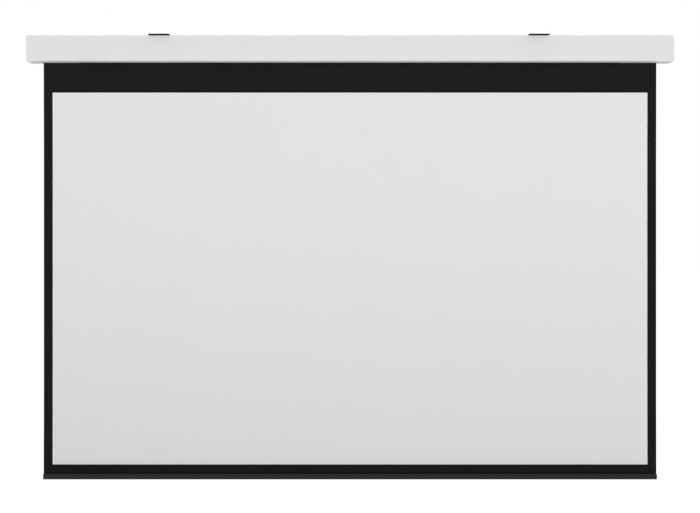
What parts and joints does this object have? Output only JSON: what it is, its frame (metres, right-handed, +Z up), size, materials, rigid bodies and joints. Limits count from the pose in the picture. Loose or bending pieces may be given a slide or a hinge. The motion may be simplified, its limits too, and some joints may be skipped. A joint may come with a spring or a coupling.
{
  "type": "motorized projection screen",
  "caption": "Wall or ceiling projection screen: white box case with a motor-driven roller, black-bordered white sheet and a straight weight bar.",
  "frame": {"origin": "on the wall, midway along the case and level with the case's top", "axes": "+X along the case towards the idler end, +Y from the viewer into the wall, +Z up"},
  "size_m": [2.156, 0.1265, 1.4933],
  "materials": {
    "case_white": "white powder coat, satin",
    "cap_white": "white moulded ABS, fine texture",
    "screen_black": "black coated glass-fibre cloth, matte",
    "screen_white": "matte white viewing layer",
    "bracket_black": "black powder coat, satin",
    "bar_black": "black anodised extrusion, satin",
    "black_plastic": "black moulded plastic",
    "grey_plastic": "grey moulded plastic",
    "nylon_natural": "natural nylon",
    "board_green": "green solder mask",
    "zinc_steel": "bright zinc plate",
    "bare_steel": "turned steel",
    "bare_aluminium": "mill finish extrusion",
    "laminated_steel": "stacked laminations, varnished",
    "bronze": "sintered bronze"
  },
  "bodies": {
    "case": {"case_shell": "case_white", "badge_plate": "cap_white", "access_plate_left": "case_white", "access_plate_right": "case_white", "end_cap_left": "cap_white", "end_cap_right": "cap_white", "motor_plate": "zinc_steel", "idler_plate": "zinc_steel", "head_cotter_pin": "bare_steel", "power_inlet": "black_plastic", "inlet_lead": "black_plastic", "motor_lead": "black_plastic", "control_box": "grey_plastic", "receiver_board": "board_green", "cap_screw_left_1": "zinc_steel", "cap_screw_left_2": "zinc_steel", "cap_screw_right_1": "zinc_steel", "cap_screw_right_2": "zinc_steel", "access_screw_left_1": "zinc_steel", "access_screw_left_2": "zinc_steel", "access_screw_right_1": "zinc_steel", "access_screw_right_2": "zinc_steel", "idler_bearing": "bare_steel", "motor_head": "black_plastic", "motor_tube": "zinc_steel", "limit_switch_block": "black_plastic", "capacitor": "bare_aluminium", "motor_bell_left": "bare_aluminium", "motor_bell_right": "bare_aluminium", "stator": "laminated_steel", "ring_gear": "bare_steel", "output_bush": "bronze"},
    "screen": {"screen_fabric": "screen_black", "picture_surface": "screen_white", "weight_bar": "bar_black", "hem_rod": "bare_steel", "ballast_rod": "bare_steel", "bar_cap_left": "black_plastic", "bar_cap_right": "black_plastic"},
    "roller": {"roller_tube": "bare_aluminium", "fabric_roll": "screen_black", "fabric_spline": "nylon_natural", "crown_ring": "nylon_natural", "drive_wheel": "nylon_natural", "drive_clip": "bare_steel", "idler_plug": "nylon_natural", "idler_pin": "bare_steel", "planet_carrier": "bare_steel"},
    "rotor": {"rotor": "bare_steel"},
    "planet_a": {"planet_gear_a": "bare_steel"},
    "planet_b": {"planet_gear_b": "bare_steel"},
    "planet_c": {"planet_gear_c": "bare_steel"},
    "up_screw": {"limit_screw_up": "nylon_natural"},
    "down_screw": {"limit_screw_down": "nylon_natural"},
    "bracket_left": {"bracket_left": "bracket_black", "bracket_bolt_left": "zinc_steel", "bracket_nut_left": "zinc_steel"},
    "bracket_right": {"bracket_right": "bracket_black", "bracket_bolt_right": "zinc_steel", "bracket_nut_right": "zinc_steel"}
  },
  "joints": [
    {"name": "screen_travel", "type": "slide", "parent": "case", "child": "screen", "axis": [0, 0, 1], "range_m": [0, 1.38], "deforming": ["screen_fabric", "picture_surface"]},
    {"name": "roller_spin", "type": "hinge", "parent": "case", "child": "roller", "pos_m": [0, -0.05735, -0.043], "axis": [1, 0, 0], "range_deg": [0, 2754]},
    {"name": "rotor_spin", "type": "hinge", "parent": "case", "child": "rotor", "pos_m": [-0.8, -0.05735, -0.043], "axis": [1, 0, 0], "range_deg": [0, 11016]},
    {"name": "planet_a_spin", "type": "hinge", "parent": "roller", "child": "planet_a", "pos_m": [-0.765, -0.04835, -0.043], "axis": [1, 0, 0], "range_deg": [-8262, 0]},
    {"name": "planet_b_spin", "type": "hinge", "parent": "roller", "child": "planet_b", "pos_m": [-0.765, -0.06185, -0.03521], "axis": [1, 0, 0], "range_deg": [-8262, 0]},
    {"name": "planet_c_spin", "type": "hinge", "parent": "roller", "child": "planet_c", "pos_m": [-0.765, -0.06185, -0.05079], "axis": [1, 0, 0], "range_deg": [-8262, 0]},
    {"name": "limit_up_turn", "type": "hinge", "parent": "case", "child": "up_screw", "pos_m": [-1.04492, -0.05735, -0.06], "axis": [0, 0, 1], "continuous": true},
    {"name": "limit_down_turn", "type": "hinge", "parent": "case", "child": "down_screw", "pos_m": [-1.05508, -0.05735, -0.06], "axis": [0, 0, 1], "continuous": true},
    {"name": "bracket_left_slide", "type": "slide", "parent": "case", "child": "bracket_left", "axis": [1, 0, 0], "range_m": [-0.38, 0.55]},
    {"name": "bracket_right_slide", "type": "slide", "parent": "case", "child": "bracket_right", "axis": [1, 0, 0], "range_m": [-0.55, 0.38]}
  ],
  "couplings": [
    {"joint": "roller_spin", "follows": "screen_travel", "rad_per_m": 34.828},
    {"joint": "rotor_spin", "follows": "screen_travel", "rad_per_m": 139.31},
    {"joint": "planet_a_spin", "follows": "screen_travel", "rad_per_m": -104.48},
    {"joint": "planet_b_spin", "follows": "screen_travel", "rad_per_m": -104.48},
    {"joint": "planet_c_spin", "follows": "screen_travel", "rad_per_m": -104.48}
  ]
}
